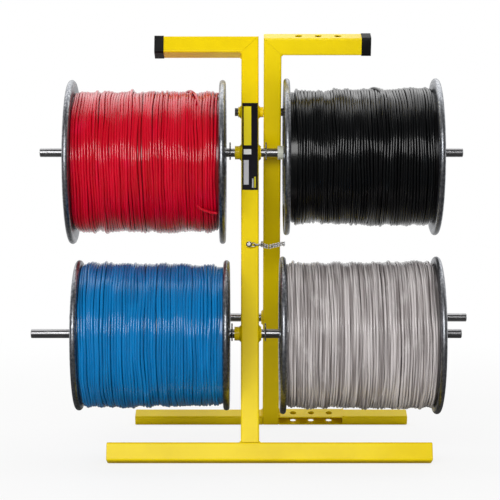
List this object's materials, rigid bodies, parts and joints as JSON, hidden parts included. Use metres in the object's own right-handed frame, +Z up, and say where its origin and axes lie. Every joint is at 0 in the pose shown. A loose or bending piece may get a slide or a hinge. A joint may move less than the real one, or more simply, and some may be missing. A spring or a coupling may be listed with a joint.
{
  "type": "folding wire spool stand",
  "caption": "Folding stand of leaning square-tube legs that carries loaded wire spools on steel rods, with a stop chain, wire-guide holes and a spare rod.",
  "frame": {"origin": "on the floor, in the middle under the box of the whole loaded stand", "axes": "+X along the rods to the right, +Y to the back, where the rear leg's foot stands, +Z up"},
  "size_m": [0.8004, 0.5154, 0.7503],
  "materials": {
    "yellow_powder_coat": "semi-gloss powder coat",
    "zinc_steel": "zinc plated",
    "spool_steel": "dark rolled sheet steel",
    "black_rubber": "matt",
    "bushing_plastic": "satin",
    "sticker_film": "printed film with plain coloured fields",
    "red_jacket": "glossy jacket",
    "black_jacket": "glossy jacket",
    "blue_jacket": "glossy jacket",
    "grey_jacket": "glossy jacket"
  },
  "bodies": {
    "front_leg": {"front_upright": "yellow_powder_coat", "left_arm": "yellow_powder_coat", "left_arm_cap": "black_rubber", "front_foot": "yellow_powder_coat", "front_foot_plugs": "yellow_powder_coat", "upper_rod_sleeve": "yellow_powder_coat", "lower_rod_sleeve": "yellow_powder_coat", "front_pivot_sleeve": "yellow_powder_coat", "pivot_bolt": "zinc_steel", "pivot_nut": "zinc_steel", "upper_rod": "zinc_steel", "lower_rod": "zinc_steel", "upper_rod_clips": "zinc_steel", "lower_rod_clips": "zinc_steel", "rod_bushing": "bushing_plastic", "sticker": "sticker_film", "chain_front_links": "zinc_steel", "chain_front_bolt": "zinc_steel", "chain_front_nut": "zinc_steel"},
    "rear_leg": {"rear_upright": "yellow_powder_coat", "right_arm": "yellow_powder_coat", "right_arm_cap": "black_rubber", "rear_foot_left": "yellow_powder_coat", "rear_foot_right": "yellow_powder_coat", "rear_foot_plugs": "yellow_powder_coat", "rear_rod_sleeve": "yellow_powder_coat", "rear_pivot_sleeve": "yellow_powder_coat", "guide_channel": "yellow_powder_coat", "chain_rear_bolt": "zinc_steel", "chain_rear_nut": "zinc_steel"},
    "spare_rod": {"spare_rod": "zinc_steel"},
    "chain_front": {"chain_front_share": "zinc_steel"},
    "chain_rear": {"chain_rear_share": "zinc_steel", "chain_rear_link": "zinc_steel"},
    "red_spool": {"red_flange_left": "spool_steel", "red_flange_right": "spool_steel", "red_arbor": "spool_steel", "red_drum": "spool_steel", "red_wire_pack": "red_jacket", "red_wire_turns": "red_jacket"},
    "black_spool": {"black_flange_left": "spool_steel", "black_flange_right": "spool_steel", "black_arbor": "spool_steel", "black_drum": "spool_steel", "black_wire_pack": "black_jacket", "black_wire_turns": "black_jacket"},
    "blue_spool": {"blue_flange_left": "spool_steel", "blue_flange_right": "spool_steel", "blue_arbor": "spool_steel", "blue_drum": "spool_steel", "blue_wire_pack": "blue_jacket", "blue_wire_turns": "blue_jacket"},
    "grey_spool": {"grey_flange_left": "spool_steel", "grey_flange_right": "spool_steel", "grey_arbor": "spool_steel", "grey_drum": "spool_steel", "grey_wire_pack": "grey_jacket", "grey_wire_turns": "grey_jacket"}
  },
  "joints": [
    {"name": "rear_leg_fold", "type": "hinge", "parent": "front_leg", "child": "rear_leg", "pos_m": [-0.01525, 0.02313, 0.60913], "axis": [-1, 0, 0], "range_deg": [0, 14]},
    {"name": "spare_rod_slide", "type": "slide", "parent": "rear_leg", "child": "spare_rod", "axis": [1, 0, 0], "range_m": [-0.35, 0.36]},
    {"name": "chain_front_swing", "type": "hinge", "parent": "front_leg", "child": "chain_front", "pos_m": [0.0049, -0.08182, 0.37267], "axis": [-1, 0, 0], "range_deg": [0, 83]},
    {"name": "chain_rear_swing", "type": "hinge", "parent": "rear_leg", "child": "chain_rear", "pos_m": [0.04612, 0.10607, 0.36369], "axis": [1, 0, 0], "range_deg": [0, 33]},
    {"name": "red_spool_spin", "type": "hinge", "parent": "front_leg", "child": "red_spool", "pos_m": [0, -0.00372, 0.5182], "axis": [1, 0, 0], "continuous": true},
    {"name": "black_spool_spin", "type": "hinge", "parent": "front_leg", "child": "black_spool", "pos_m": [0, -0.00372, 0.5276], "axis": [1, 0, 0], "continuous": true},
    {"name": "blue_spool_spin", "type": "hinge", "parent": "front_leg", "child": "blue_spool", "pos_m": [0, -0.11915, 0.21545], "axis": [1, 0, 0], "continuous": true},
    {"name": "grey_spool_spin", "type": "hinge", "parent": "front_leg", "child": "grey_spool", "pos_m": [0, -0.11915, 0.21545], "axis": [1, 0, 0], "continuous": true}
  ],
  "couplings": [
    {"joint": "chain_front_swing", "follows": "rear_leg_fold", "ratio": 5.8468},
    {"joint": "chain_rear_swing", "follows": "rear_leg_fold", "ratio": 2.2425}
  ]
}
